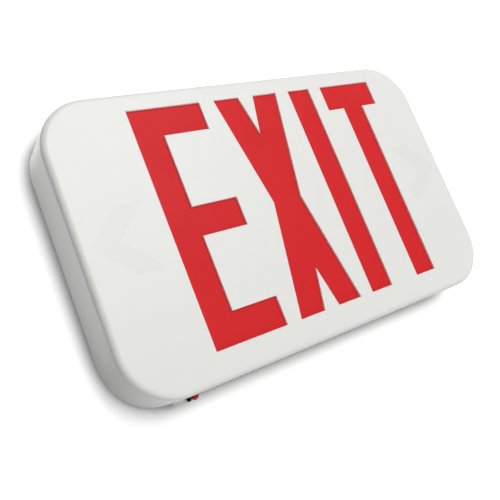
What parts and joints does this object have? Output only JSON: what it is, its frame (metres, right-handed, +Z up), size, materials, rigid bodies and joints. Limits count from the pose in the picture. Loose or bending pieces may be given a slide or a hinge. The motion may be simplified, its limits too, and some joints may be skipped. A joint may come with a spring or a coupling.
{
  "type": "emergency exit light",
  "caption": "Wall-mounted emergency exit light with a stencil front over a lit red panel, a test button and a pilot lamp on its lower edge.",
  "frame": {"origin": "centre of the housing on the wall plane, midway between the two junction-box slots", "axes": "+Y out of the back into the wall, +X to the right seen from the front, +Z up"},
  "size_m": [0.298, 0.035, 0.1851],
  "materials": {
    "white_housing": "fine satin moulding",
    "white_plate": "satin moulding",
    "red_translucent": "translucent, flat",
    "white_reflector": "bright white",
    "white_board": "white solder mask",
    "lamp_resin": "cast resin",
    "green_board": "green solder mask",
    "core_steel": "varnished laminations",
    "coil_tape": "wound tape",
    "film_case": "moulded case",
    "can_sleeve": "shrunk sleeve",
    "black_epoxy": "moulded epoxy",
    "terminal_case": "moulded case",
    "terminal_lever": "moulded",
    "connector_case": "moulded nylon",
    "cell_sleeve": "shrunk sleeve",
    "lead_cover": "flat twin lead",
    "switch_case": "moulded",
    "button_black": "smooth black",
    "pilot_red": "tinted lens",
    "leg_metal": "tinned",
    "screw_steel": "zinc plated"
  },
  "bodies": {
    "housing": {"back_plate": "white_plate", "battery_lead": "lead_cover", "battery_pack": "cell_sleeve", "battery_plug": "connector_case", "battery_socket": "connector_case", "board_screws": "screw_steel", "bridge_rectifier": "black_epoxy", "charger_board": "green_board", "electrolytic_capacitors": "can_sleeve", "film_capacitor": "film_case", "front_cover": "white_housing", "light_tray": "white_reflector", "line_fuse": "black_epoxy", "lower_plug": "connector_case", "lower_socket": "connector_case", "lower_strip_board": "white_board", "lower_strip_lamps": "lamp_resin", "lower_strip_lead": "lead_cover", "pilot_led": "pilot_red", "pilot_led_legs": "leg_metal", "power_regulator": "black_epoxy", "red_panel": "red_translucent", "supply_terminal": "terminal_case", "switch_body": "switch_case", "terminal_levers": "terminal_lever", "test_board": "green_board", "test_board_screws": "screw_steel", "test_lead": "lead_cover", "test_plug": "connector_case", "test_socket": "connector_case", "transformer_coil": "coil_tape", "transformer_core": "core_steel", "tray_screws": "screw_steel", "upper_plug": "connector_case", "upper_socket": "connector_case", "upper_strip_board": "white_board", "upper_strip_lamps": "lamp_resin", "upper_strip_lead": "lead_cover"},
    "button": {"test_button": "button_black"}
  },
  "joints": [
    {"name": "test_press", "type": "slide", "parent": "housing", "child": "button", "axis": [0, 0, 1], "range_m": [0, 0.0012], "stiffness_N_per_m": 800, "springref_m": -0.0008}
  ]
}
